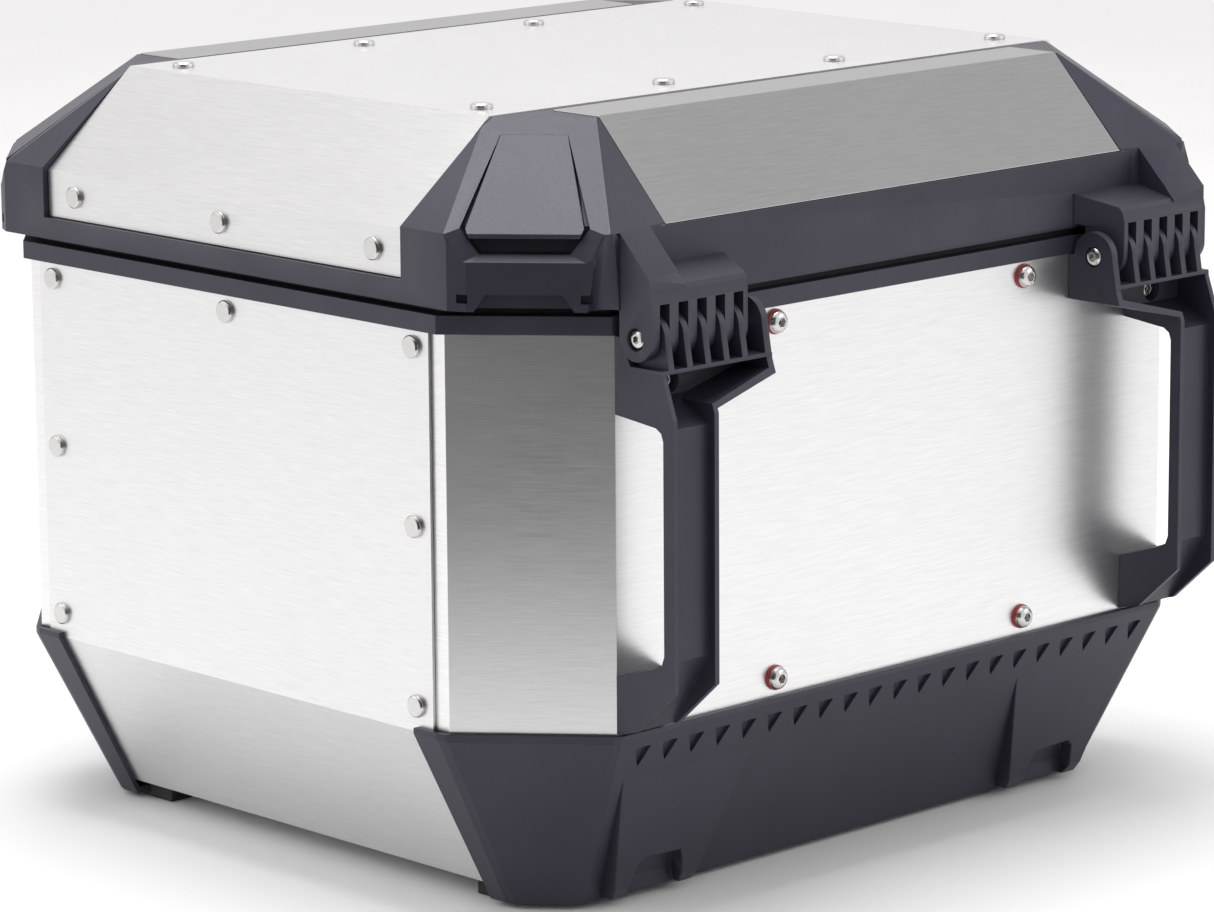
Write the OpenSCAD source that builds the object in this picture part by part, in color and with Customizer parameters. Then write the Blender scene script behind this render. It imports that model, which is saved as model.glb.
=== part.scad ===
// Rigid aluminium luggage case for a motorcycle carrier.
// X runs across the case, the hinge and handle face looks towards +Y,
// the latch face looks towards -Y, and Z = 0 is the surface the rubber feet stand on.

/* [Case body] */
// Width of the body over its two side panels
case_w = 476; // [470:1:484]
// Depth of the body over its hinge wall and latch wall
case_d = 410; // [404:1:416]
// Distance from the centre to the chamfered corner faces
case_n = 275.3; // [272:0.5:278]
// Direction of the corner faces, measured from X
corner_angle = 41.5; // [40:0.5:43]
// Sheet thickness of the walls
sheet = 1.5; // [1.2:0.1:1.8]
// Height at which the walls start to lean inwards
kink_z = 90; // [86:1:94]
// Underside of the case floor
floor_z = 10; // [9:0.5:11]

/* [Rim and lid] */
// Underside of the moulded rim
rim_z = 275.1; // [274:0.1:276]
// Height of the rim band
rim_h = 8.6; // [7.5:0.1:9.6]
// Gap between the rim and the lid
lid_gap = 3.6; // [3.4:0.1:4]
// Width of the lid frame
lid_w = 487; // [485:0.5:489]
// Depth of the lid frame over its four corners
lid_d = 423.4; // [422:0.2:425]
// Distance from the centre to the lid's corner faces
lid_n = 286; // [285:0.5:287]
// Height at which the lid's sides start to slope
lid_kink_z = 321.5; // [320.5:0.5:322.5]
// Top of the lid sheet
lid_top_z = 365.2; // [362:0.2:368]

/* [Hinges and handles] */
// Distance from the hinge wall to the hinge axis
pivot_out = 15.5; // [15:0.1:16.5]
// Height of the hinge axis
pivot_z = 275; // [274:0.5:276]
// Radius of the lid knuckles
knuckle_r = 10; // [9.5:0.1:10.2]
// Radius of the hinge pins
pin_r = 2.5; // [2:0.1:3]
// Distance between neighbouring hinge ribs
rib_pitch = 11.5; // [11.2:0.1:11.8]
// Reach of the grab handles from the hinge wall
handle_out = 36.8; // [34:0.2:40]

/* [Fixings] */
// Radius of the rivet heads
rivet_r = 5.3; // [4.5:0.1:6]
// Radius of the open mounting holes under the floor
mount_hole_r = 3.3; // [2.7:0.1:4.3]
// Spacing of the mounting holes across the case
mount_dx = 200; // [160:5:220]
// Spacing of the mounting holes along the depth
mount_dy = 140; // [120:5:160]

/* [Latch] */
// Angle the released latch lever stands off the case
latch_rest = 9; // [8.5:0.5:10]
// Radius of the lock cylinder
lock_r = 8; // [7:0.25:9]

/* [Hidden] */

ALU = [0.80, 0.80, 0.81];
BLACK = [0.12, 0.12, 0.13];
STEEL = [0.68, 0.68, 0.70];
RED = [0.72, 0.10, 0.08];
RUBBER = [0.06, 0.06, 0.06];

span = 700;
eps = 0.1;
half_w = case_w / 2;
half_d = case_d / 2;
side_lean = 0.53;
end_lean = 0.47;
corner_lean = 0.44;
corner_kink_z = kink_z - 1.2;
wall_top_z = rim_z + 3.9;
rim_top_z = rim_z + rim_h;
side_half_y = 139.5;
wrap_y = 112;
bumper_top_z = kink_z + 2.5;
bumper_z = 2.5;
bumper_t = 2.7;
bumper_edge_y = 129;

lid_z = rim_top_z + lid_gap;
lid_half_w = lid_w / 2;
lid_half_d = lid_d / 2;
frame_top_z = lid_top_z - 0.6;
lid_top_half_w = 189.2;
lid_top_half_d = 163;
lid_top_n = 224.9;
lid_rise = frame_top_z - lid_kink_z;
lid_side_lean = (lid_half_w - lid_top_half_w) / lid_rise;
lid_end_lean = (lid_half_d - lid_top_half_d) / lid_rise;
lid_corner_lean = (lid_n - lid_top_n) / lid_rise;
lid_sheet = 1.4;
lid_sheet_x = lid_half_w - 2.9;
lid_sheet_half_y = 127.5;
lid_sheet_z = 298;
panel_half_x = 154.4;
panel_strip_y = 133;
panel_low_y = 205.2;
panel_low_z = 320.9;
panel_top_y = 162.6;
rail_y = 206;

pivot_y = half_d + pivot_out;
hinge_in_x = 117.5;
hinge_out_x = 186.6;
lug_in_x = 183.2;
lug_out_x = 188.6;
rib_count = 5;
first_rib_x = 134.2;
rib_t = 3.6;
slot_w = 6;
rib_r = 12;
grip_in_x = 158;
grip_y = half_d + handle_out;
shelf_z = 260.4;
shelf_top_z = 262.2;
pin_fit = 0.05;
pocket_y = half_d + 12.5;
bracket_screw_x = 164.7;
bracket_screw_z = 253;
foot_screw_x = (grip_in_x + hinge_out_x) / 2;
foot_screw_z = 109;

rivet_side_y = 129;
rivet_side_z = [102, 185, 267];
rear_bolt_x = 85;
rear_bolt_z = [101.3, 268];
lid_rivet_x = [-173.5, -57.8, 57.8, 173.5];
lid_rivet_y = 106;
lid_side_rivet_y = [-107, 0, 107];
lid_side_rivet_z = 309;
plate_screw_x = 70;
plate_screw_y = 95;

latch_y = -half_d;
latch_pivot_y = latch_y - 17;
latch_pivot_z = 208;
latch_half_w = 40;
lever_top_z = 306;
lever_y = latch_y - 22;
hook_z = 299;
keeper_z = 289.6;
keeper_h = 6.6;
lock_z = 254;
lock_fit = 0.08;

// ---------- outlines of the body and the lid ----------

// Half outline of a wall that stands straight above height k and leans inwards below it
function low_line(h, k, lean, z0, z1) =
    z0 < k ? [[h - (k - z0) * lean, z0], [h, k], [h, z1]] : [[h, z0], [h, z1]];

// Half outline of a wall that stands straight below height k and leans inwards above it
function high_line(h, k, lean, z0, z1) = [[h, z0], [h, k], [h - (z1 - k) * lean, z1]];

// Both halves of an outline, as one closed polygon
function both(line) = concat(line, [for (i = [len(line) - 1:-1:0]) [-line[i][0], line[i][1]]]);

// Bar along Y whose end view is the given half outline and its mirror image
module bar(line) {
    rotate([90, 0, 0]) linear_extrude(height = span, center = true) polygon(both(line));
}

// Eight-sided body cut from four crossing bars
module octagon_body(line_x, line_y, line_n) {
    intersection() {
        bar(line_x);
        rotate([0, 0, 90]) bar(line_y);
        rotate([0, 0, corner_angle]) bar(line_n);
        rotate([0, 0, -corner_angle]) bar(line_n);
    }
}

// The case body, grown by dx, dy and dn on its sides, ends and corners
module case_body(dx, dy, dn, z0, z1) {
    octagon_body(
        low_line(half_w + dx, kink_z, side_lean, z0, z1),
        low_line(half_d + dy, kink_z, end_lean, z0, z1),
        low_line(case_n + dn, corner_kink_z, corner_lean, z0, z1));
}

// The lid, grown by dx, dy and dn on its sides, ends and corners
module lid_body(dx, dy, dn, z0, z1) {
    octagon_body(
        high_line(lid_half_w + dx, lid_kink_z, lid_side_lean, z0, z1),
        high_line(lid_half_d + dy, lid_kink_z, lid_end_lean, z0, z1),
        concat([[lid_n + dn + 3.6, z0], [lid_n + dn + 3.6, lid_kink_z - 11]],
            [[lid_n + dn, lid_kink_z], [lid_n + dn - (z1 - lid_kink_z) * lid_corner_lean, z1]]));
}

// Flat plate across the case with an outline in Y and Z, from x0 to x1
module slice_x(points, x0, x1) {
    translate([x0, 0, 0]) rotate([90, 0, 90]) linear_extrude(height = x1 - x0) polygon(points);
}

// Flat plate along the case with an outline in X and Z, from y0 to y1
module slice_y(points, y0, y1) {
    translate([0, y1, 0]) rotate([90, 0, 0]) linear_extrude(height = y1 - y0) polygon(points);
}

// Box given by its lowest and highest corners
module block(lo, hi) {
    translate(lo) cube(hi - lo);
}

// Round bar along X, Y or Z between two coordinates
module rod_x(r, x0, x1, y, z) {
    translate([x0, y, z]) rotate([0, 90, 0]) cylinder(r = r, h = x1 - x0, $fn = 48);
}

module rod_y(r, y0, y1, x, z) {
    translate([x, y1, z]) rotate([90, 0, 0]) cylinder(r = r, h = y1 - y0, $fn = 48);
}

module rod_z(r, z0, z1, x, y) {
    translate([x, y, z0]) cylinder(r = r, h = z1 - z0, $fn = 48);
}

module mirror_x(on) {
    mirror([on ? 1 : 0, 0, 0]) children();
}

module mirror_y(on) {
    mirror([0, on ? 1 : 0, 0]) children();
}

// ---------- fasteners, drawn with the head's seat at z = 0 and the head upwards ----------

rivet_h = 2.4;
rivet_shank_r = 2.4;
rivet_grip = 3.4;
rivet_tail_r = 3.8;
rivet_tail_h = 1.2;

module rivet() {
    rotate_extrude($fn = 48) polygon([
        [0, -rivet_grip - rivet_tail_h], [rivet_tail_r, -rivet_grip - rivet_tail_h],
        [rivet_tail_r, -rivet_grip], [rivet_shank_r, -rivet_grip], [rivet_shank_r, 0],
        [rivet_r, 0], [rivet_r, rivet_h - 0.8], [rivet_r - 0.9, rivet_h], [0, rivet_h]]);
}

// Button-head screw with a hexagon socket
module button_screw(head_r, head_h, shank_r, length) {
    socket_r = head_r * 0.44;
    difference() {
        rotate_extrude($fn = 48) polygon([
            [0, -length], [shank_r, -length], [shank_r, 0], [head_r, 0],
            [head_r, head_h * 0.22], [head_r * 0.93, head_h * 0.55],
            [head_r * 0.75, head_h * 0.86], [head_r * 0.52, head_h], [0, head_h]]);
        translate([0, 0, head_h * 0.3]) cylinder(r = socket_r, h = head_h, $fn = 6);
    }
}

// Stand children on the hinge wall, heads pointing to +Y
module on_rear(x, z, out) {
    translate([x, half_d + out, z]) rotate([-90, 0, 0]) children();
}

// ---------- case body ----------

module side_rivet_places() {
    for (z = rivet_side_z, s = [-1, 1]) translate([half_w, s * rivet_side_y, z]) children();
    translate([half_w, 0, rivet_side_z[2]]) children();
}

// Folded side sheet: upright wall, inward slope and a flange under the floor
module side_panel_plain() {
    lean_w = (kink_z - floor_z) * side_lean;
    flange_x = 180;
    slope_t = sheet + eps;
    outer = [[half_w, wall_top_z], [half_w, kink_z], [half_w - lean_w, floor_z],
        [flange_x, floor_z]];
    inner = [[flange_x, floor_z + sheet], [half_w - lean_w - slope_t + sheet * side_lean,
        floor_z + sheet], [half_w - sheet, kink_z + 0.4], [half_w - sheet, wall_top_z]];
    difference() {
        slice_y(concat(outer, inner), -side_half_y, side_half_y);
        side_rivet_places() rod_x(rivet_shank_r, -10, 10, 0, 0);
    }
}

module side_panel(left) {
    color(ALU) mirror_x(left) side_panel_plain();
}

// Sheet wrapped round the hinge wall, its two corners and a flange under each side panel
module wrapped_wall() {
    flange_in = sheet + 0.2;
    difference() {
        case_body(-flange_in, 0, 0, floor_z + flange_in, wall_top_z);
        case_body(-flange_in - sheet, -sheet, -sheet, floor_z - 1, wall_top_z + 1);
        block([-span, -span, -1], [span, wrap_y, span]);
        for (m = [false, true]) mirror_x(m) side_rivet_places() rod_x(rivet_shank_r, -12, 10, 0, 0);
    }
}

module rear_wall() {
    color(ALU) difference() {
        wrapped_wall();
        for (x = [-rear_bolt_x, rear_bolt_x], z = rear_bolt_z) rod_y(3.1, half_d - 5, half_d + 5, x, z);
        for (s = [-1, 1]) {
            rod_y(3.1, half_d - 5, half_d + 5, s * bracket_screw_x, bracket_screw_z);
            rod_y(3.1, half_d - 5, half_d + 5, s * foot_screw_x, foot_screw_z);
        }
    }
}

module front_wall() {
    color(ALU) difference() {
        mirror_y(true) wrapped_wall();
        latch_screw_places() rod_y(2.6, latch_y - 5, latch_y + 5, 0, 0);
    }
}

module mount_places() {
    for (x = [-1, 1], y = [-1, 1]) translate([x * mount_dx / 2, y * mount_dy / 2, 0]) children();
}

module plate_screw_places() {
    for (x = [-1, 1], y = [-1, 1]) translate([x * plate_screw_x, y * plate_screw_y, 0]) children();
}

// Flat eight-sided plate with half sizes a and b and corner distance n
module plan_plate(a, b, n, z0, z1) {
    corner_y = (n - a * cos(corner_angle)) / sin(corner_angle);
    corner_x = (n - b * sin(corner_angle)) / cos(corner_angle);
    translate([0, 0, z0]) linear_extrude(height = z1 - z0) polygon([
        [a, corner_y], [corner_x, b], [-corner_x, b], [-a, corner_y],
        [-a, -corner_y], [-corner_x, -b], [corner_x, -b], [a, -corner_y]]);
}

module floor_panel() {
    z0 = floor_z + sheet + eps;
    drop = kink_z - z0;
    in = sheet + 0.3;
    color(ALU) difference() {
        plan_plate(half_w - 2 * sheet - 0.6 - drop * side_lean, half_d - in - drop * end_lean,
            case_n - in - drop * corner_lean, z0, z0 + 2);
        mount_places() rod_z(mount_hole_r, 0, 30, 0, 0);
        plate_screw_places() rod_z(2.6, 0, 30, 0, 0);
    }
}

// Moulded rim that grips the top edge of the walls
module base_rim() {
    color(BLACK) difference() {
        union() {
            case_body(3.2, 1.6, 3.4, rim_z, rim_top_z);
            case_body(-2 * sheet - 0.4, -sheet - 0.2, -sheet - 0.2, rim_z - 4, rim_z + 1);
        }
        difference() {
            case_body(0.1, 0.1, 0.1, rim_z - 1, wall_top_z + 0.2);
            case_body(-2 * sheet - 0.4, -sheet - 0.2, -sheet - 0.2, rim_z - 2, wall_top_z + 1);
        }
        case_body(-14.5, -13, -13, rim_z - 1, rim_top_z + 1);
        case_body(-6.5, -5, -5, rim_z - 5, rim_z - eps);
        for (x = [-rear_bolt_x, rear_bolt_x]) rod_y(7.6, half_d - 14, half_d - sheet, x, rear_bolt_z[1]);
        difference() {
            case_body(-4.8, -4.8, -4.8, rim_top_z - 2, rim_top_z + 1);
            case_body(-10.2, -10.2, -10.2, rim_top_z - 3, rim_top_z + 2);
        }
    }
}

// Rubber seal lying in the groove of the rim
module lid_gasket() {
    color(RUBBER) difference() {
        case_body(-5.2, -5.2, -5.2, rim_top_z - 1.9, lid_z - 0.3);
        case_body(-9.8, -9.8, -9.8, rim_top_z - 3, lid_z + 1);
    }
}

notch_pitch = 17;
notch_half_count = 10;

// Inverted triangles pressed into the bumper band, flat on one side and fading out on the other
module bumper_notches() {
    w = 10.4;
    h = 11;
    top = 6.6;
    depth = 1.9;
    flat_w = 5;
    for (i = [-notch_half_count:notch_half_count])
        translate([i * notch_pitch, half_d + bumper_t, kink_z]) rotate([-atan(end_lean), 0, 0])
            intersection() {
                slice_y([[-w / 2, -top], [-w / 2 + 4, -top - h], [w / 2, -top]], -4, 4);
                linear_extrude(height = 40, center = true)
                    polygon([[w / 2, 0.2], [w / 2, 4], [-w / 2, 4], [-w / 2, -depth],
                        [-w / 2 + flat_w, -depth]]);
            }
}

block_top_z = 67;
block_in = [92, 110];
block_out = [175, 161];
block_low_z = 4;

// Foot block that stands proud of the sloping bumper, with a drain slot at the bottom
module foot_block() {
    top_y = half_d + bumper_t - (kink_z - block_top_z) * end_lean;
    difference() {
        intersection() {
            slice_y([[block_in[0], block_top_z], [block_in[1], block_low_z],
                [block_out[1], block_low_z], [block_out[0], block_top_z]], 150, half_d + 10);
            slice_x([[160, block_low_z], [174.5, block_low_z], [178, block_low_z + 5],
                [top_y, block_top_z], [top_y - 12, block_top_z], [160, 16]], 80, 190);
        }
        slice_y([[117, 0], [121, 16], [124, 22.5], [147, 23.5], [151, 20], [154, 8], [149, 0]],
            half_d - 34, half_d + 10);
    }
}

// Bars that soften the ridge between a corner face and the face at distance d beside it
module bumper_ridge(angle, half_turn, d, lean) {
    soft = 0.9;
    spread = 2 * cos(half_turn);
    half = (d + case_n + bumper_t) / spread - soft;
    ridge_lean = (lean + corner_lean) / spread;
    intersection_for (s = [-1, 1])
        rotate([0, 0, s * angle])
            bar(low_line(half, kink_z - 0.6, ridge_lean, bumper_z - 1, bumper_top_z + 1));
}

module bumper_plain() {
    lip = 26;
    drop = kink_z - plate_z;
    difference() {
        union() {
            intersection() {
                case_body(3, bumper_t, bumper_t, bumper_z, bumper_top_z);
                bumper_ridge(corner_angle / 2, corner_angle / 2, half_w + 3, side_lean);
                bumper_ridge((corner_angle + 90) / 2, (90 - corner_angle) / 2, half_d + bumper_t,
                    end_lean);
            }
            for (m = [false, true]) mirror_x(m) foot_block();
        }
        case_body(0.1, 0.1, 0.1, 5.8, bumper_top_z + 1);
        plan_plate(half_w - lip - drop * side_lean, half_d - lip - drop * end_lean,
            case_n - lip - drop * corner_lean, 1, 7);
        block([-span, -span, -1], [span, bumper_edge_y, span]);
        bumper_notches();
    }
}

module rear_bumper() {
    color(BLACK) bumper_plain();
}

module front_bumper() {
    color(BLACK) mirror_y(true) bumper_plain();
}

// Rubber pad under one corner of the case, above the lip of the bumper
module rubber_foot(left, front) {
    color(RUBBER) mirror_x(left) mirror_y(front) union() {
        linear_extrude(height = bumper_z)
            polygon([[146, 112], [187, 112], [187, 136], [171, 156], [146, 156]]);
        block([146, 112, 0], [187, bumper_edge_y - 0.3, floor_z - 0.2]);
    }
}

plate_z = 4;

// Plate under the floor that a carrier bolts to
module mounting_plate() {
    color(BLACK) difference() {
        slice_y([[-128, plate_z + 2], [-124, plate_z], [124, plate_z], [128, plate_z + 2],
            [128, floor_z + sheet], [-128, floor_z + sheet]], -112, 112);
        mount_places() rod_z(mount_hole_r, 0, 30, 0, 0);
        plate_screw_places() rod_z(2.6, 0, 30, 0, 0);
        plate_screw_places() rod_z(5.4, plate_z - 1, plate_z + 3.4, 0, 0);
        block([-60, -55, plate_z - 1], [60, 55, plate_z + 4]);
    }
}

module mounting_plate_screws() {
    color(STEEL) plate_screw_places() translate([0, 0, plate_z + 3.4]) rotate([180, 0, 0])
        button_screw(4.8, 2.8, 2.5, 9);
}

module side_rivets(left) {
    color(STEEL) mirror_x(left) side_rivet_places() rotate([0, 90, 0]) rivet();
}

washer_h = 1.4;

module rear_bolts() {
    color(STEEL) for (x = [-rear_bolt_x, rear_bolt_x], z = rear_bolt_z)
        on_rear(x, z, washer_h) button_screw(5.4, 3.4, 3, 14);
}

module rear_bolt_washers() {
    color(RED) for (x = [-rear_bolt_x, rear_bolt_x], z = rear_bolt_z) on_rear(x, z, 0)
        difference() {
            cylinder(r = 5.9, h = washer_h, $fn = 48);
            translate([0, 0, -1]) cylinder(r = 3.1, h = washer_h + 2, $fn = 48);
        }
}

module rear_bolt_nuts() {
    color(STEEL) for (x = [-rear_bolt_x, rear_bolt_x], z = rear_bolt_z)
        on_rear(x, z, -sheet - 6) difference() {
            union() {
                cylinder(r = 5.7, h = 5, $fn = 6);
                translate([0, 0, 5]) cylinder(r = 7, h = 1, $fn = 48);
            }
            translate([0, 0, -1]) cylinder(r = 3.05, h = 9, $fn = 48);
        }
}

// ---------- hinges and grab handles ----------

module rib_places() {
    for (i = [0:rib_count - 1]) translate([first_rib_x + i * rib_pitch, 0, 0]) children();
}

wall_y = half_d + 0.2;

// End view of the bracket and handle, with the finger gap left out
module bracket_side_view() {
    difference() {
        polygon([[wall_y, shelf_top_z], [half_d + 30, shelf_top_z], [half_d + 30.2, 259.4],
            [grip_y, 241], [grip_y, 118], [half_d + 12.7, 96.2], [wall_y, 93]]);
        polygon([[wall_y - 1, 239.4], [half_d + 26, 236.6], [half_d + 29.2, 234.6],
            [half_d + 30.5, 231], [half_d + 30.5, 134], [half_d + 29, 130], [half_d + 24, 127.6],
            [half_d + 4, 121], [wall_y - 1, 119.5]]);
    }
}

// Front view of the bracket: box under the hinge, running down into the handle
bracket_front = [[hinge_out_x, 90], [grip_in_x, 90], [grip_in_x, 243],
    [hinge_in_x, 253], [hinge_in_x, shelf_top_z], [hinge_out_x, shelf_top_z]];
flange_t = 2.8;
channel_front = [[hinge_out_x - flange_t, 90], [grip_in_x + flange_t, 90],
    [grip_in_x + flange_t, 245.2], [hinge_in_x + 3.6, 255.6], [hinge_in_x + 3.6, shelf_z],
    [hinge_out_x - flange_t, shelf_z]];

// Space in front of the web, between the two flanges
module bracket_channel() {
    web_out = half_d + 32.6;
    intersection() {
        slice_y(channel_front, half_d, half_d + 60);
        slice_x([[pocket_y, 262], [pocket_y, 247], [web_out, 236], [web_out, 131],
            [half_d + 21, 112], [half_d + 9, 94], [half_d + 9, 80], [half_d + 60, 80],
            [half_d + 60, 262]], 100, 200);
    }
}

// Rib that carries the hinge pin
module rib_shape() {
    union() {
        translate([pivot_y, pivot_z]) circle(r = rib_r, $fn = 64);
        polygon([[wall_y, shelf_z], [half_d + 30, shelf_z], [half_d + 27.5, pivot_z],
            [pivot_y - rib_r, pivot_z], [wall_y, rim_z - 0.4]]);
    }
}

module plate_x(x0, x1) {
    translate([x0, 0, 0]) rotate([90, 0, 90]) linear_extrude(height = x1 - x0) children();
}

module hinge_bracket_plain() {
    difference() {
        union() {
            difference() {
                intersection() {
                    slice_y(bracket_front, half_d, half_d + 60);
                    plate_x(100, 200) bracket_side_view();
                }
                bracket_channel();
            }
            rib_places() plate_x(-rib_t / 2, rib_t / 2) rib_shape();
            plate_x(hinge_in_x, hinge_in_x + 4) rib_shape();
            difference() {
                slice_x([[wall_y, shelf_z], [wall_y, rim_z - 0.4], [half_d + 4, rim_z - 0.4],
                    [half_d + 11, shelf_z]], hinge_out_x - flange_t, hinge_out_x);
                rod_x(knuckle_r + 1.2, 150, 200, pivot_y, pivot_z);
            }
        }
        rod_x(pin_r + pin_fit, 100, 200, pivot_y, pivot_z);
        rod_x(5, 100, hinge_in_x + 1.4, pivot_y, pivot_z);
        rod_y(5.6, half_d + 7, half_d + 60, bracket_screw_x, bracket_screw_z);
        rod_y(3.1, half_d - 1, half_d + 20, bracket_screw_x, bracket_screw_z);
        rod_y(3.05, half_d - 1, half_d + 12, foot_screw_x, foot_screw_z);
    }
}

module hinge_bracket(left) {
    color(BLACK) mirror_x(left) hinge_bracket_plain();
}

pin_in_x = hinge_in_x + 1.3;
pin_out_x = lug_out_x - 2.4;

module hinge_pin(left) {
    color(STEEL) mirror_x(left) rod_x(pin_r, pin_in_x, pin_out_x, pivot_y, pivot_z);
}

// Screw caps at both ends of each hinge pin
module hinge_pin_caps() {
    cap_r = 4.6;
    cap_h = 2.1;
    color(STEEL) for (m = [false, true]) mirror_x(m) {
        translate([pin_out_x, pivot_y, pivot_z]) rotate([0, 90, 0]) button_screw(cap_r, cap_h, 1, 0.01);
        translate([pin_in_x, pivot_y, pivot_z]) rotate([0, -90, 0]) button_screw(cap_r, cap_h, 1, 0.01);
    }
}

module bracket_screws() {
    color(STEEL) for (s = [-1, 1]) {
        on_rear(s * bracket_screw_x, bracket_screw_z, 7) button_screw(5.2, 3.2, 3, 15);
        translate([s * foot_screw_x, half_d - sheet, foot_screw_z]) rotate([90, 0, 0])
            button_screw(5.2, 3.2, 3, 12);
    }
}

// ---------- latch on the front wall ----------

module latch_screw_places() {
    for (s = [-1, 1]) {
        translate([s * 54, 0, 214]) children();
        translate([s * 54, 0, 262]) children();
    }
}

cheek_in_x = latch_half_w + 1;
cheek_t = 6;
latch_pin_r = 2.5;

// Housing with two cheeks that hold the lever's pin
module latch_housing() {
    cheek_x = cheek_in_x + cheek_t;
    color(BLACK) difference() {
        union() {
            slice_y([[-62, 202], [-58, 198], [58, 198], [62, 202], [62, 268], [58, 272],
                [-58, 272], [-62, 268]], latch_y - 4.2, latch_y - 0.2);
            for (m = [false, true]) mirror_x(m)
                slice_x([[latch_y - 0.2, 199], [latch_y - 18, 199], [latch_y - 24, 204],
                    [latch_y - 24, 214], [latch_y - 14, 270], [latch_y - 0.2, 270]],
                    cheek_in_x, cheek_x);
        }
        rod_x(latch_pin_r + pin_fit, -80, 80, latch_pivot_y, latch_pivot_z);
        latch_screw_places() rod_y(2.6, latch_y - 10, latch_y + 5, 0, 0);
    }
}

module latch_housing_screws() {
    color(STEEL) latch_screw_places() translate([0, latch_y - 4.2, 0]) rotate([90, 0, 0])
        button_screw(4.6, 2.6, 2.5, 11);
}

module latch_pin() {
    color(STEEL) rod_x(latch_pin_r, -cheek_in_x - cheek_t, cheek_in_x + cheek_t,
        latch_pivot_y, latch_pivot_z);
}

// Turn children about the latch pin from the closed place to the released one
module released() {
    translate([0, latch_pivot_y, latch_pivot_z]) rotate([latch_rest, 0, 0])
        translate([0, -latch_pivot_y, -latch_pivot_z]) children();
}

// Lever with a hook that drops over the keeper on the lid
module latch_lever() {
    lever_t = 5;
    color(BLACK) released() difference() {
        union() {
            slice_x([[latch_pivot_y + 6, latch_pivot_z - 4], [latch_pivot_y + 2, latch_pivot_z - 7],
                [lever_y + 2, latch_pivot_z - 7], [lever_y - lever_t, latch_pivot_z],
                [lever_y - lever_t, lever_top_z - 3], [lever_y - lever_t + 3, lever_top_z],
                [latch_y - 7, lever_top_z], [latch_y - 7, hook_z], [lever_y, hook_z],
                [lever_y, latch_pivot_z + 10], [latch_pivot_y + 6, latch_pivot_z + 4]],
                -latch_half_w, latch_half_w);
            rod_y(lock_r + 4, lever_y - lever_t - 2, lever_y, 0, lock_z);
        }
        rod_x(latch_pin_r + pin_fit, -80, 80, latch_pivot_y, latch_pivot_z);
        rod_y(lock_r + lock_fit, lever_y - lever_t - 10, lever_y + 10, 0, lock_z);
        for (s = [-1, 1]) block([s * 30 - 6, lever_y - 1.6, 228], [s * 30 + 6, lever_y + 1, 290]);
    }
}

// Key cylinder in the lever
module lock_cylinder() {
    face_y = lever_y - 6.6;
    color(STEEL) released() difference() {
        rod_y(lock_r, face_y, lever_y + 1, 0, lock_z);
        block([-1.3, face_y - 1, lock_z - 4], [1.3, face_y + 5, lock_z + 4]);
    }
}

// Cam on the inner end of the key cylinder
module lock_cam() {
    color(STEEL) released() slice_y([[-5, lock_z - 6], [5, lock_z - 6], [5, lock_z + 20],
        [-5, lock_z + 20]], lever_y + 1, lever_y + 3);
}

// ---------- lid ----------

// End view of the lid's folded sheet, d below its outer face
function lid_sheet_line(d) = [[lid_sheet_x - d, lid_sheet_z], [lid_sheet_x - d, lid_kink_z - 1.4],
    [lid_top_half_w - 0.2 - d * 0.4, lid_top_z - d]];

// Side view of the rear and front slope panels, d below their outer face
function panel_line(d) = [[panel_low_y - d * 1.4, panel_low_z],
    [panel_top_y - d * 0.4, lid_top_z - d]];

module lid_rivet_places() {
    for (x = lid_rivet_x, s = [-1, 1]) translate([x, s * lid_rivet_y, lid_top_z]) children();
}

module lid_side_rivet_places() {
    for (y = lid_side_rivet_y) translate([lid_sheet_x, y, lid_side_rivet_z]) children();
}

// Room that the folded sheet and the slope panels take out of the frame
module sheet_seats() {
    seat_y = lid_sheet_half_y + 0.5;
    seat_x = panel_half_x + 0.4;
    difference() {
        block([-span / 2, -seat_y, lid_sheet_z - 0.5], [span / 2, seat_y, lid_top_z + 20]);
        bar(concat([[lid_sheet_x - lid_sheet, lid_sheet_z - 5]], lid_sheet_line(lid_sheet)));
    }
    for (m = [false, true]) mirror_y(m) difference() {
        block([-seat_x, panel_strip_y - 0.6, panel_low_z - 0.3], [seat_x, lid_d, lid_top_z + 20]);
        rotate([0, 0, 90]) bar(concat([[lid_half_d, panel_low_z - 5]],
            [[panel_low_y - 1.6, panel_low_z - 0.3]], panel_line(lid_sheet)));
    }
}

// Openings of the frame under the sheets
module frame_windows() {
    low_z = lid_kink_z + 8;
    high_z = frame_top_z - 8;
    block([-164, -96, high_z], [164, 96, lid_top_z + 5]);
    for (s = [-1, 1]) {
        block([s * 210 - 35, -108, low_z], [s * 210 + 35, 108, high_z]);
        block([-142, s * 178 - 38, low_z], [142, s * 178 + 38, high_z]);
    }
}

// Children turned so that X points out through the corner at (right, rear)
module at_corner(left, front) {
    mirror_x(left) mirror_y(front) rotate([0, 0, corner_angle]) children();
}

function corner_face(z) = lid_n - max(0, z - lid_kink_z) * lid_corner_lean;

corner_mid = -8.5;
pocket_top_z = 358;
pocket_mid_z = 323.5;
pocket_low_z = 312.3;
pocket_top_t = 15.2;
pocket_mid_t = 28.8;
pocket_low_t = 20.2;

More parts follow.
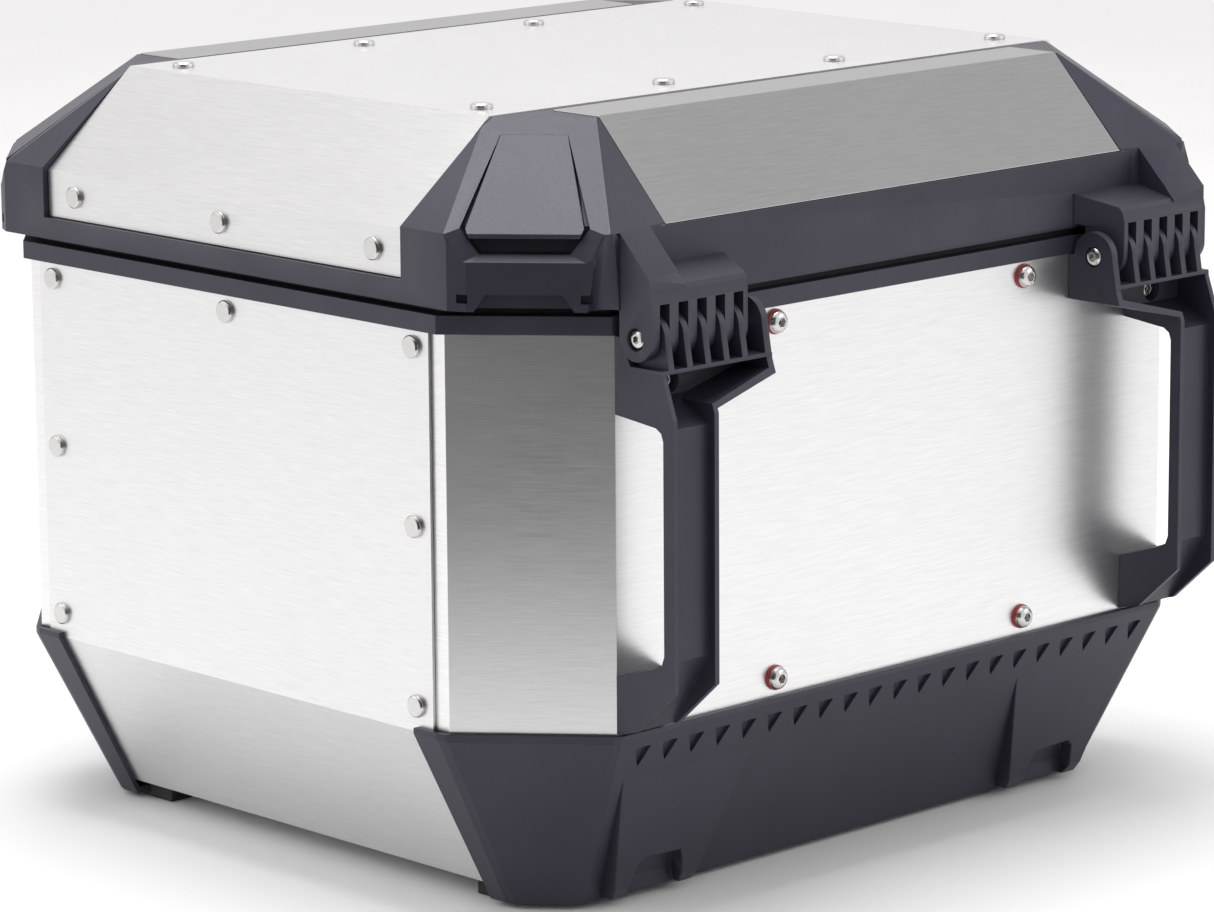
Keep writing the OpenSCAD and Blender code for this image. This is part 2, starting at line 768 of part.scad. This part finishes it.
// Six-sided pocket sunk into a corner face
module corner_pocket() {
    depth = 8;
    translate([0, corner_mid, 0]) intersection() {
        slice_x([[-pocket_top_t, pocket_top_z],
            [-pocket_mid_t, pocket_mid_z], [-pocket_low_t, pocket_low_z],
            [pocket_low_t, pocket_low_z], [pocket_mid_t, pocket_mid_z],
            [pocket_top_t, pocket_top_z]], 180, 300);
        slice_y([[corner_face(pocket_low_z) - depth, pocket_low_z - 1],
            [corner_face(pocket_mid_z) - depth, pocket_mid_z],
            [corner_face(pocket_top_z + 1) - depth, pocket_top_z + 1],
            [300, pocket_top_z + 1], [300, pocket_low_z - 1]], -40, 40);
    }
}

// Funnel that bevels the three lower edges of a corner pocket
module pocket_bevels() {
    turn = -16.8;
    tilt = 65.2;
    translate([0, corner_mid, 0]) intersection() {
        slice_y([[lid_n - 7.2, pocket_low_z + 6], [lid_n + 7.2, pocket_low_z - 6],
            [lid_n + 20, pocket_low_z - 6], [lid_n + 20, pocket_mid_z + 8],
            [lid_n - 7.2, pocket_mid_z + 8]], -50, 50);
        intersection_for (m = [false, true]) mirror_y(m)
            translate([lid_n, pocket_low_t, pocket_low_z]) rotate([0, tilt, turn])
                block([-90, -90, 0], [90, 90, 90]);
    }
}

// Arched notch and two small slots in the lower edge of a lid corner
module corner_notch() {
    translate([0, corner_mid, 0]) {
        slice_x([[-23, lid_z - 1], [-17, 295], [17, 295], [23, lid_z - 1]], 279, 300);
        for (s = [-1, 1]) block([285, s * 27.5 - 2.5, 291], [300, s * 27.5 + 2.5, 295]);
    }
}

// Tongue-shaped insert that fills the upper part of the pocket
module corner_insert_plain() {
    slot = 2.5;
    low_z = 319.6;
    top_gap = 0.05;
    depth = 7.8;
    translate([0, corner_mid, 0]) intersection() {
        slice_x([[-pocket_top_t + top_gap, pocket_top_z - top_gap],
            [-pocket_mid_t + slot, pocket_mid_z], [-pocket_mid_t + slot + 2, low_z],
            [pocket_mid_t - slot - 2, low_z], [pocket_mid_t - slot, pocket_mid_z],
            [pocket_top_t - top_gap, pocket_top_z - top_gap]], 180, 300);
        slice_y([[corner_face(low_z) - 3.4, low_z], [corner_face(low_z) + 0.9, low_z],
            [corner_face(lid_kink_z) + 0.7, lid_kink_z],
            [corner_face(pocket_top_z), pocket_top_z],
            [corner_face(pocket_top_z) - depth, pocket_top_z],
            [corner_face(334) - depth, 334], [corner_face(330) - 3, 330]], -40, 40);
    }
}

module lid_corner_insert(left, front) {
    color(BLACK) at_corner(left, front) corner_insert_plain();
}

arm_wide_x = 119;
arm_x = 123;
arm_top_x = 128.4;

// End view of the hinge arm that comes down from the lid
module arm_side_view() {
    union() {
        translate([pivot_y, pivot_z]) circle(r = knuckle_r, $fn = 64);
        polygon([[pivot_y - knuckle_r, pivot_z], [pivot_y + knuckle_r, pivot_z],
            [pivot_y + knuckle_r, 292], [pivot_y + knuckle_r - 1.1, 296.5], [half_d + 19, 304],
            [rail_y + 0.8, lid_kink_z - 1], [rail_y - 3, lid_kink_z - 1],
            [rail_y - 3, lid_z + 2], [pivot_y - knuckle_r, lid_z + 2]]);
    }
}

recess_out_x = 166;

// Outboard shoulder of the hinge arm, level with the slanting end facet of the lid
module arm_shoulder() {
    low = 296;
    high = lid_kink_z + 1;
    front_y = pivot_y + knuckle_r - 1.1;
    face_y = facet_y - 0.05;
    intersection() {
        slice_x([[rail_y - 3, low], [front_y, low], [front_y, high], [rail_y - 3, high]],
            recess_out_x, lug_out_x);
        rotate([0, 0, facet_angle]) slice_x([[facet_top_y, low - 1],
            [face_y + (lid_kink_z - low + 1) * facet_lean, low - 1],
            [face_y - 2 * facet_lean, lid_kink_z + 2], [facet_top_y, lid_kink_z + 2]], 0, 260);
    }
}

module hinge_arm() {
    difference() {
        intersection() {
            union() {
                plate_x(arm_wide_x, lug_out_x) arm_side_view();
                arm_shoulder();
            }
            translate([0, 0, pivot_z - 20]) linear_extrude(height = 70) polygon([
                [arm_wide_x, half_d - 5], [arm_wide_x, half_d + 2],
                [arm_top_x, pivot_y + knuckle_r + 0.1], [lug_out_x, pivot_y + knuckle_r + 0.1],
                [lug_out_x, half_d - 5]]);
        }
        block([arm_wide_x - 5, half_d, pivot_z - 20], [arm_x, half_d + 40, lid_z + 1.5]);
        rib_places() block([-slot_w / 2, half_d + 4.2, pivot_z - 20], [slot_w / 2, half_d + 40, 291]);
        slice_x([[rail_y - 0.02, 304], [half_d + 40, 294.4], [half_d + 40, 330],
            [rail_y - 0.02, 330]], arm_wide_x - 5, recess_out_x);
        rod_x(pin_r + pin_fit + 0.03, 100, 200, pivot_y, pivot_z);
        rod_x(5.2, lug_out_x - 2.5, 200, pivot_y, pivot_z);
    }
}

// Hollow scooped out between a hinge arm and the lid corner
module arm_scoop() {
    translate([198.4, lid_half_d + 2, lid_z - 3]) rotate([-9.5, 0, 0])
        cylinder(r = 9.4, h = 60, $fn = 48);
}

facet_angle = 10.7;
facet_y = 172.4;
facet_top_y = 131.4;
facet_lean = (facet_y - facet_top_y) / lid_rise;

// Space outside an end wall that stands at y and slopes to top_y above it
module outside_end(y, step_z, slope_y, top_y) {
    slice_x([[y, lid_z - 1], [y, step_z], [slope_y, lid_kink_z], [top_y, frame_top_z],
        [top_y - 10, frame_top_z + 10], [300, frame_top_z + 10], [300, lid_z - 1]], -span / 2, span / 2);
}

// Hollow between two corners of the lid, where the end rail and slope panel lie
module end_hollow() {
    intersection() {
        outside_end(rail_y, lid_kink_z - 1, panel_low_y - 0.9, panel_top_y - 0.9);
        rotate([0, 0, facet_angle]) outside_end(facet_y, lid_kink_z - 1, facet_y, facet_top_y);
        rotate([0, 0, -facet_angle]) outside_end(facet_y, lid_kink_z - 1, facet_y, facet_top_y);
    }
}

// Bar that bevels the lower band of two opposite lid corners
module corner_bevel(angle, half, lean) {
    rotate([0, 0, angle]) bar(high_line(half, lid_kink_z, lean, lid_z - 1, frame_top_z + 1));
}

module keeper_screw_places() {
    for (s = [-1, 1]) translate([s * 24, 0, keeper_z + keeper_h / 2]) children();
}

// Lid with its corner bevels, before anything is cut out
module lid_blank() {
    intersection() {
        lid_body(0, 0, 0, lid_z, frame_top_z);
        corner_bevel(26, 288.2, 1.2);
        corner_bevel(-26, 288.2, 1.2);
        corner_bevel(70, 265.2, 1);
        corner_bevel(-70, 265.2, 1);
    }
}

module lid_frame() {
    color(BLACK) difference() {
        union() {
            difference() {
                lid_blank();
                for (m = [false, true]) mirror_y(m) end_hollow();
            }
            for (m = [false, true]) mirror_x(m) hinge_arm();
        }
        lid_body(-6.2, -9.2, -13.5, lid_z + 4, lid_top_z - 3.3);
        case_body(-14.5, -13, -13, lid_z - 1, lid_z + 4.1);
        for (l = [false, true], f = [false, true]) at_corner(l, f) {
            corner_pocket();
            pocket_bevels();
            corner_notch();
        }
        for (m = [false, true]) mirror_x(m) arm_scoop();
        sheet_seats();
        frame_windows();
        lid_rivet_places() rod_z(rivet_shank_r, -20, 5, 0, 0);
        for (m = [false, true]) mirror_x(m) lid_side_rivet_places() rod_x(rivet_shank_r, -20, 5, 0, 0);
        keeper_screw_places() rod_y(2.1, -rail_y - 5, -rail_y + 9, 0, 0);
    }
}

// One sheet folded over the top and down both sides of the lid
module lid_top_sheet() {
    outer = lid_sheet_line(0);
    inner = lid_sheet_line(lid_sheet);
    color(ALU) difference() {
        slice_y(both(outer), -lid_sheet_half_y, lid_sheet_half_y);
        slice_y(both(concat([[inner[0][0], lid_sheet_z - 5]], inner)), -span / 2, span / 2);
        lid_rivet_places() rod_z(rivet_shank_r, -20, 5, 0, 0);
        for (m = [false, true]) mirror_x(m) lid_side_rivet_places() rod_x(rivet_shank_r, -20, 5, 0, 0);
    }
}

// Slope panel with its top edge folded level with the lid's top
module slope_panel() {
    outer = panel_line(0);
    inner = panel_line(lid_sheet);
    slice_x([outer[0], outer[1], [panel_strip_y, lid_top_z], [panel_strip_y, lid_top_z - lid_sheet],
        inner[1], [inner[0][0], outer[0][1]]], -panel_half_x, panel_half_x);
}

module lid_rear_panel() {
    color(ALU) slope_panel();
}

module lid_front_panel() {
    color(ALU) mirror_y(true) slope_panel();
}

module lid_top_rivets() {
    color(STEEL) lid_rivet_places() rivet();
}

module lid_side_rivets() {
    color(STEEL) for (m = [false, true]) mirror_x(m) lid_side_rivet_places()
        rotate([0, 90, 0]) rivet();
}

// Ledge on the lid that the latch hook holds down
module latch_keeper() {
    color(STEEL) difference() {
        block([-32, -rail_y - 9, keeper_z], [32, -rail_y - 0.1, keeper_z + keeper_h]);
        keeper_screw_places() rod_y(2.1, -rail_y - 20, -rail_y + 5, 0, 0);
        keeper_screw_places() rod_y(4, -rail_y - 20, -rail_y - 5, 0, 0);
    }
}

module keeper_screws() {
    color(STEEL) keeper_screw_places() translate([0, -rail_y - 5, 0]) rotate([90, 0, 0])
        button_screw(3.6, 2.2, 2, 9);
}

side_panel(false);  // side_panel_right
side_panel(true);  // side_panel_left
rear_wall();
front_wall();
floor_panel();
base_rim();
lid_gasket();
rear_bumper();
front_bumper();
rubber_foot(false, false);  // rubber_foot_rear_right
rubber_foot(true, false);  // rubber_foot_rear_left
rubber_foot(false, true);  // rubber_foot_front_right
rubber_foot(true, true);  // rubber_foot_front_left
mounting_plate();
mounting_plate_screws();
side_rivets(false);  // side_rivets_right
side_rivets(true);  // side_rivets_left
rear_bolts();
rear_bolt_washers();
rear_bolt_nuts();
hinge_bracket(false);  // hinge_bracket_right
hinge_bracket(true);  // hinge_bracket_left
hinge_pin(false);  // hinge_pin_right
hinge_pin(true);  // hinge_pin_left
hinge_pin_caps();
bracket_screws();
latch_housing();
latch_pin();
latch_housing_screws();
lid_frame();
lid_top_sheet();
lid_rear_panel();
lid_front_panel();
lid_corner_insert(false, false);  // lid_corner_insert_rear_right
lid_corner_insert(true, false);  // lid_corner_insert_rear_left
lid_corner_insert(false, true);  // lid_corner_insert_front_right
lid_corner_insert(true, true);  // lid_corner_insert_front_left
lid_top_rivets();
lid_side_rivets();
latch_keeper();
keeper_screws();
latch_lever();
lock_cylinder();
lock_cam();
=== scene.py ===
import math
import bpy
from mathutils import Vector, Matrix

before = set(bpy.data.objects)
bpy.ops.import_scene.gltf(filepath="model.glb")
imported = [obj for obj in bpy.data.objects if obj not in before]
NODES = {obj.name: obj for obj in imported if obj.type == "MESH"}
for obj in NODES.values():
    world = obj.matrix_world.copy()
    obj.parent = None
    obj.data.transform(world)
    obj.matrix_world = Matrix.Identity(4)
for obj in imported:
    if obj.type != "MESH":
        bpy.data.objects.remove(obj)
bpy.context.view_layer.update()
MM = 0.001

# Most of a noise texture's values lie in this band, so ramps and ranges are spread over it
NOISE_LO, NOISE_HI = 0.3, 0.7


# ---------- materials ----------

def new_material(name):
    mat = bpy.data.materials.new(name)
    mat.use_nodes = True
    nt = mat.node_tree
    bsdf = next(n for n in nt.nodes if n.type == "BSDF_PRINCIPLED")
    return mat, nt, bsdf


def add(nt, kind, **properties):
    """A new shader node with the properties given."""
    node = nt.nodes.new(kind)
    for key, value in properties.items():
        setattr(node, key, value)
    return node


def grain(nt, scale, detail=3.0, rough=0.6, stretch=(1, 1, 1)):
    """Noise in object coordinates, squeezed along the axes where stretch is large."""
    coords = add(nt, "ShaderNodeTexCoord")
    mapping = add(nt, "ShaderNodeMapping")
    mapping.inputs["Scale"].default_value = stretch
    noise = add(nt, "ShaderNodeTexNoise")
    noise.inputs["Scale"].default_value = scale
    noise.inputs["Detail"].default_value = detail
    noise.inputs["Roughness"].default_value = rough
    nt.links.new(coords.outputs["Object"], mapping.inputs["Vector"])
    nt.links.new(mapping.outputs["Vector"], noise.inputs["Vector"])
    return noise.outputs["Fac"]


def ramp(nt, fac, low, high):
    """Colour that runs from low to high over the noise band. Each is a grey value or an RGB tuple."""
    node = add(nt, "ShaderNodeValToRGB")
    stops = zip(node.color_ramp.elements, (NOISE_LO, NOISE_HI), (low, high))
    for element, position, shade in stops:
        element.position = position
        element.color = (*shade, 1) if isinstance(shade, tuple) else (shade, shade, shade, 1)
    nt.links.new(fac, node.inputs["Fac"])
    return node.outputs["Color"]


def mapped(nt, fac, low, high):
    """Number that runs from low to high over the noise band."""
    node = add(nt, "ShaderNodeMapRange")
    node.inputs["To Min"].default_value = low
    node.inputs["To Max"].default_value = high
    node.inputs["From Min"].default_value = NOISE_LO
    node.inputs["From Max"].default_value = NOISE_HI
    nt.links.new(fac, node.inputs["Value"])
    return node.outputs["Result"]


def bump(nt, bsdf, fac, strength, distance):
    node = add(nt, "ShaderNodeBump")
    node.inputs["Strength"].default_value = strength
    node.inputs["Distance"].default_value = distance
    nt.links.new(fac, node.inputs["Height"])
    nt.links.new(node.outputs["Normal"], bsdf.inputs["Normal"])


def brushed(name, stretch, base, rough, strength=0.22):
    """Aluminium sheet with a fine brushed grain along the axis where stretch is small."""
    mat, nt, bsdf = new_material(name)
    bsdf.inputs["Metallic"].default_value = 1.0
    fine = grain(nt, 60.0, 4.0, 0.65, stretch)
    broad = grain(nt, 9.0, 3.0, 0.5)
    nt.links.new(ramp(nt, fine, base * 0.88, base * 1.06), bsdf.inputs["Base Color"])
    mix = add(nt, "ShaderNodeMix", data_type="FLOAT")
    mix.inputs["Factor"].default_value = 0.3
    nt.links.new(fine, mix.inputs["A"])
    nt.links.new(broad, mix.inputs["B"])
    nt.links.new(mapped(nt, mix.outputs["Result"], *rough), bsdf.inputs["Roughness"])
    bump(nt, bsdf, fine, strength, 0.04 * MM)
    return mat


def moulded(name, base, rough, painted_edge_highlight, strength=0.3, scale=1500.0):
    """Moulded plastic, paint or rubber with a fine texture and a painted highlight on its outer
    edges.
    """
    mat, nt, bsdf = new_material(name)
    fine = grain(nt, scale, 3.0, 0.6)
    broad = grain(nt, 30.0, 3.0, 0.5)
    # Pointiness is 0.5 on a flat face and rises on an outer edge, so it masks the painted edge
    # highlight
    geo = add(nt, "ShaderNodeNewGeometry")
    edge = add(nt, "ShaderNodeMapRange")
    edge.inputs["From Min"].default_value = 0.52
    edge.inputs["From Max"].default_value = 0.62
    nt.links.new(geo.outputs["Pointiness"], edge.inputs["Value"])
    body = ramp(nt, broad, tuple(c * 0.9 for c in base), tuple(c * 1.12 for c in base))
    # Painted highlight: outer edges are painted lighter than the body, in patches set by the broad
    # noise
    painted_highlight = add(nt, "ShaderNodeMix", data_type="RGBA")
    painted_highlight.inputs["B"].default_value = (base[0] + painted_edge_highlight, base[1] + painted_edge_highlight, base[2] + painted_edge_highlight, 1)
    amount = add(nt, "ShaderNodeMath", operation="MULTIPLY")
    nt.links.new(edge.outputs["Result"], amount.inputs[0])
    nt.links.new(broad, amount.inputs[1])
    nt.links.new(amount.outputs["Value"], painted_highlight.inputs["Factor"])
    nt.links.new(body, painted_highlight.inputs["A"])
    nt.links.new(painted_highlight.outputs["Result"], bsdf.inputs["Base Color"])
    nt.links.new(mapped(nt, fine, *rough), bsdf.inputs["Roughness"])
    bump(nt, bsdf, fine, strength, 0.05 * MM)
    bsdf.inputs["Specular Tint"].default_value = (0.90, 0.89, 1.0, 1)
    return mat


def turned(name, base=(0.62, 0.61, 0.60), rough=(0.16, 0.28)):
    """Stainless steel of rivets and screws."""
    mat, nt, bsdf = new_material(name)
    bsdf.inputs["Metallic"].default_value = 1.0
    fine = grain(nt, 900.0, 2.0, 0.5)
    nt.links.new(ramp(nt, fine, tuple(c * 0.92 for c in base), base), bsdf.inputs["Base Color"])
    nt.links.new(mapped(nt, fine, *rough), bsdf.inputs["Roughness"])
    bump(nt, bsdf, fine, 0.1, 0.03 * MM)
    return mat


SIDE = brushed("alu_side", (60, 1, 60), base=0.75, rough=(0.30, 0.40))
WALL = brushed("alu_wall", (1, 1, 60), base=0.80, rough=(0.28, 0.38))
TOP = brushed("alu_lid", (60, 1, 60), base=0.72, rough=(0.30, 0.40))
PANEL = brushed("alu_panel", (1, 60, 60), base=0.35, rough=(0.24, 0.38), strength=0.4)
# In each moulded material the outer edges are painted lighter by the amount given, a painted
# highlight
BLACK = moulded("black_moulding", base=(0.0185, 0.0175, 0.029), rough=(0.40, 0.52), painted_edge_highlight=0.03)
BRIGHT = turned("stainless")
RED = moulded("red_washer", base=(0.28, 0.014, 0.01), rough=(0.35, 0.45), painted_edge_highlight=0.01)
RUBBER = moulded("rubber", base=(0.012, 0.012, 0.012), rough=(0.6, 0.75), painted_edge_highlight=0.02,
                 strength=0.4, scale=900.0)

# Every node not named here is a black moulding
NODES_OF = [
    (SIDE, ("side_panel_right", "side_panel_left")),
    (WALL, ("rear_wall", "front_wall", "floor_panel")),
    (TOP, ("lid_top_sheet",)),
    (PANEL, ("lid_rear_panel", "lid_front_panel")),
    (RUBBER, ("lid_gasket", "rubber_foot_rear_right", "rubber_foot_rear_left",
              "rubber_foot_front_right", "rubber_foot_front_left")),
    (RED, ("rear_bolt_washers",)),
    (BRIGHT, ("mounting_plate_screws", "side_rivets_right", "side_rivets_left", "rear_bolts",
              "rear_bolt_nuts", "hinge_pin_right", "hinge_pin_left", "hinge_pin_caps",
              "bracket_screws", "latch_pin", "latch_housing_screws", "lid_top_rivets",
              "lid_side_rivets", "latch_keeper", "keeper_screws", "lock_cylinder", "lock_cam")),
]
MATERIAL_OF = {name: mat for mat, names in NODES_OF for name in names}

# Rounding of the edges: width in mm, segments, and the least angle in degrees that is rounded
BEVEL_OF = {
    "side_panel_right": (1.2, 3, 20), "side_panel_left": (1.2, 3, 20),
    "rear_wall": (1.2, 3, 20), "front_wall": (1.2, 3, 20),
    "lid_top_sheet": (0.5, 2, 20), "lid_rear_panel": (0.4, 2, 30), "lid_front_panel": (0.4, 2, 30),
    "base_rim": (1.0, 3, 30), "lid_frame": (0.8, 2, 12),
    "rear_bumper": (0.6, 2, 25), "front_bumper": (0.6, 2, 25),
    "hinge_bracket_right": (0.8, 3, 30), "hinge_bracket_left": (0.8, 3, 30),
    "latch_housing": (0.8, 2, 30), "latch_lever": (1.2, 3, 30), "mounting_plate": (0.6, 2, 30),
}
PLAIN_BEVEL = (0.25, 2, 40)
FLAT_ANGLE = math.radians(0.3)   # faces that meet at less than this count as one flat face
CURVE_ANGLE = math.radians(11)   # rounded faces meet at less than this
CURVE_AREA = 0.00015             # and are smaller than this, in square metres


def curved_faces(mesh):
    """Faces of a rounded surface: small ones that meet a neighbour at a shallow angle."""
    keys = [tuple(round(c * 1e5) for c in v.co) for v in mesh.vertices]
    edges = {}
    for p in mesh.polygons:
        ring = [keys[i] for i in p.vertices]
        for a, b in zip(ring, ring[1:] + ring[:1]):
            edges.setdefault((min(a, b), max(a, b)), []).append(p)
    found = set()
    for pair in edges.values():
        if len(pair) != 2 or max(p.area for p in pair) > CURVE_AREA:
            continue
        if FLAT_ANGLE < pair[0].normal.angle(pair[1].normal, 0) < CURVE_ANGLE:
            found.update(p.index for p in pair)
    return found


for name, obj in NODES.items():
    obj.data.materials.clear()
    obj.data.materials.append(MATERIAL_OF.get(name, BLACK))
    width, segments, limit = BEVEL_OF.get(name, PLAIN_BEVEL)
    weld = obj.modifiers.new("weld", "WELD")
    weld.merge_threshold = 0.01 * MM
    # The row of notches in a bumper doesn't bevel cleanly once its flat faces are merged
    if not name.endswith("bumper"):
        flat = obj.modifiers.new("flat", "DECIMATE")
        flat.decimate_type = "DISSOLVE"
        flat.angle_limit = FLAT_ANGLE
    bevel = obj.modifiers.new("edges", "BEVEL")
    bevel.width = width * MM
    bevel.segments = segments
    bevel.limit_method = "ANGLE"
    bevel.angle_limit = math.radians(limit)
    bevel.use_clamp_overlap = True
    curved = curved_faces(obj.data)
    for p in obj.data.polygons:
        p.use_smooth = p.index in curved


# ---------- floor and light ----------

def new_object(name, data):
    obj = bpy.data.objects.new(name, data)
    bpy.context.scene.collection.objects.link(obj)
    return obj


def rectangle(name, half_x, half_y):
    mesh = bpy.data.meshes.new(name)
    corners = [(-half_x, -half_y, 0), (half_x, -half_y, 0), (half_x, half_y, 0), (-half_x, half_y, 0)]
    mesh.from_pydata(corners, [], [(0, 1, 2, 3)])
    return new_object(name, mesh)


def aim(obj, place, direction, track):
    obj.location = place
    obj.rotation_mode = "QUATERNION"
    obj.rotation_quaternion = Vector(direction).to_track_quat(track, "Y")


FLOOR_HALF = 12.0
floor = rectangle("floor", FLOOR_HALF, FLOOR_HALF)
floor.location.z = -0.2 * MM
fmat, fnt, fbsdf = new_material("pale_floor")
fbsdf.inputs["Roughness"].default_value = 0.7
fnt.links.new(ramp(fnt, grain(fnt, 3.0), 0.83, 0.86), fbsdf.inputs["Base Color"])
floor.data.materials.append(fmat)

world = bpy.data.worlds.new("studio")
bpy.context.scene.world = world
world.use_nodes = True
wbg = world.node_tree.nodes["Background"]
wbg.inputs["Color"].default_value = (1.0, 0.985, 0.985, 1)
wbg.inputs["Strength"].default_value = 0.96


def area(name, place, target, size, power):
    data = bpy.data.lights.new(name, "AREA")
    data.shape = "RECTANGLE"
    data.size, data.size_y = size
    data.energy = power
    aim(new_object(name, data), place, Vector(target) - Vector(place), "-Z")


def flag(name, place, direction, width, height):
    """Dark studio card that only reflections can see."""
    card = rectangle(name, width / 2, height / 2)
    aim(card, place, direction, "Z")
    mat, nt, bsdf = new_material(name)
    bsdf.inputs["Roughness"].default_value = 0.9
    nt.links.new(ramp(nt, grain(nt, 5.0), 0.035, 0.045), bsdf.inputs["Base Color"])
    card.data.materials.append(mat)
    card.visible_camera = False
    card.visible_diffuse = False
    card.visible_shadow = False


area("key_hinge_side", (-2.0, 2.4, 1.7), (-1.0, 1.0, 0.0), (2.2, 1.4), 15)
area("key_right_side", (2.4, -2.0, 1.7), (1.0, -1.0, 0.0), (2.2, 1.4), 15)
area("overhead", (0.0, -0.2, 1.9), (0, 0, 0.2), (1.1, 1.1), 24)
flag("corner_flag", (0.62, 0.50, 0.32), (-0.78, -0.62, 0.0), 0.9, 1.2)


# ---------- camera ----------

AZ, EL, ROLL = math.radians(136.122), math.radians(11.685), math.radians(-0.389)
TARGET = Vector((-0.00298, 0.00287, 0.16326))
DISTANCE = 2.5799

cam_data = bpy.data.cameras.new("camera")
cam_data.sensor_fit = "HORIZONTAL"
cam_data.sensor_width = 36.0
cam_data.lens = 153.7
cam_data.clip_start = 0.05
cam_data.clip_end = 60.0
cam = new_object("camera", cam_data)
bpy.context.scene.camera = cam

back = Vector((math.sin(AZ) * math.cos(EL), -math.cos(AZ) * math.cos(EL), math.sin(EL)))
level_right = (-back).cross(Vector((0, 0, 1))).normalized()
level_up = level_right.cross(-back)
right = level_right * math.cos(ROLL) + level_up * math.sin(ROLL)
up = level_up * math.cos(ROLL) - level_right * math.sin(ROLL)
place = Matrix((right, up, back)).transposed().to_4x4()
place.translation = TARGET + back * DISTANCE
cam.matrix_world = place

view = bpy.context.scene.view_settings
view.view_transform = "Standard"
view.look = "None"
view.exposure = 0.0
